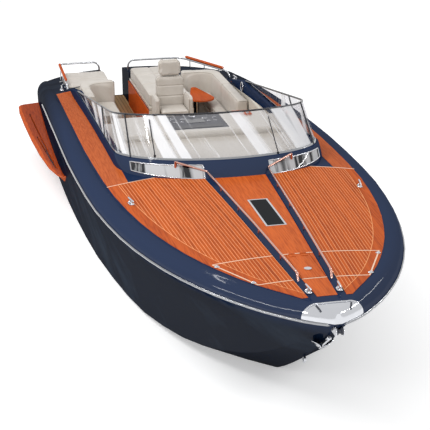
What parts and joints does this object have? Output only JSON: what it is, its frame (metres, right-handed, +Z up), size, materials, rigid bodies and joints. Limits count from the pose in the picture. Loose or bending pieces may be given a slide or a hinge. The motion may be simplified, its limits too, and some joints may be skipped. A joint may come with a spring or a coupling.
{
  "type": "planked sports cruiser",
  "caption": "Open sports cruiser afloat: navy hull, varnished planked foredeck, wraparound windshield, cockpit with helm and sunpads, twin propellers and rudders.",
  "frame": {"origin": "amidships on the centreline, at the waterline", "axes": "+X to the bow, +Y to port, +Z up"},
  "size_m": [13.65, 4.4502, 3.453],
  "materials": {
    "navy_gloss": "deep gloss",
    "deck_wood": "gloss varnish, light caulk lines",
    "mahogany": "gloss varnish",
    "teak_sole": "oiled",
    "chrome": "polished",
    "smoked_glass": "polished, smoked",
    "dark_frame": "satin",
    "cream_leather": "soft, stitched",
    "cream_gelcoat": "gloss",
    "dark_panel": "satin",
    "engine_paint": "semi-gloss",
    "bronze": "cast, polished"
  },
  "bodies": {
    "boat": {"hull": "navy_gloss", "coaming": "navy_gloss", "swim_platform": "navy_gloss", "foredeck_planks": "deck_wood", "side_decks": "deck_wood", "foredeck_planks_centre": "deck_wood", "side_pods": "mahogany", "stern_rail_caps": "mahogany", "gauge_panel": "mahogany", "pad_side_panel": "mahogany", "table_top": "mahogany", "cockpit_sole": "teak_sole", "platform_teak": "teak_sole", "bow_plate": "chrome", "windshield_sill": "chrome", "rub_rail": "chrome", "handrails": "chrome", "cleats": "chrome", "deck_light_rim": "chrome", "stern_rails": "chrome", "stem_head": "chrome", "anchor": "chrome", "bow_eye": "chrome", "flagstaff_socket": "chrome", "hoops": "chrome", "helm_pedestal": "chrome", "table_pedestal": "chrome", "steering_column": "chrome", "throttles": "chrome", "windshield_glass": "smoked_glass", "deck_light_pane": "smoked_glass", "coaming_windows": "smoked_glass", "windshield_frame": "dark_frame", "wipers": "dark_frame", "sunpad_small": "cream_leather", "seat_cushions": "cream_leather", "seat_backs": "cream_leather", "helm_seat_cushion": "cream_leather", "helm_back": "cream_leather", "helm_headrest": "cream_leather", "helm_arms": "cream_leather", "dash": "cream_gelcoat", "seat_bases": "cream_gelcoat", "cockpit_lining": "cream_gelcoat", "instrument_panel": "dark_panel", "compass": "dark_panel", "engines": "engine_paint", "shaft_brackets": "bronze"},
    "port_propeller": {"propeller_port": "bronze"},
    "starboard_propeller": {"propeller_starboard": "bronze"},
    "port_rudder": {"rudder_port": "bronze"},
    "starboard_rudder": {"rudder_starboard": "bronze"},
    "wheel": {"steering_wheel": "dark_panel"},
    "locker_lid": {"anchor_locker_lid": "deck_wood", "locker_latch": "chrome"},
    "pad_hatch": {"engine_hatch": "cream_gelcoat", "sunpad_main": "cream_leather"},
    "door": {"cabin_door": "mahogany"}
  },
  "joints": [
    {"name": "port_propeller_spin", "type": "hinge", "parent": "boat", "child": "port_propeller", "pos_m": [-5.35, 0.58, -0.74], "axis": [-0.9903, 0, -0.1392], "continuous": true},
    {"name": "starboard_propeller_spin", "type": "hinge", "parent": "boat", "child": "starboard_propeller", "pos_m": [-5.35, -0.58, -0.74], "axis": [-0.9903, 0, -0.1392], "continuous": true},
    {"name": "port_rudder_turn", "type": "hinge", "parent": "boat", "child": "port_rudder", "pos_m": [-5.95, 0.58, -0.6], "axis": [0, 0, 1], "range_deg": [-35, 35]},
    {"name": "starboard_rudder_turn", "type": "hinge", "parent": "boat", "child": "starboard_rudder", "pos_m": [-5.95, -0.58, -0.6], "axis": [0, 0, 1], "range_deg": [-35, 35]},
    {"name": "wheel_turn", "type": "hinge", "parent": "boat", "child": "wheel", "pos_m": [-1.13, 0.05, 1.48], "axis": [-0.9063, 0, 0.4226], "range_deg": [-630, 630]},
    {"name": "locker_lid_lift", "type": "hinge", "parent": "boat", "child": "locker_lid", "pos_m": [5.134, 0, 1.7919], "axis": [0, -1, 0], "range_deg": [0, 85]},
    {"name": "pad_hatch_lift", "type": "hinge", "parent": "boat", "child": "pad_hatch", "pos_m": [-3.406, 0.16, 1.2063], "axis": [0, 1, 0], "range_deg": [0, 55]},
    {"name": "door_swing", "type": "hinge", "parent": "boat", "child": "door", "pos_m": [-0.9563, -1.16, 1.1], "axis": [0, 0, 1], "range_deg": [0, 90]}
  ],
  "couplings": [
    {"joint": "starboard_rudder_turn", "follows": "port_rudder_turn", "ratio": 1},
    {"joint": "wheel_turn", "follows": "port_rudder_turn", "ratio": 18}
  ]
}
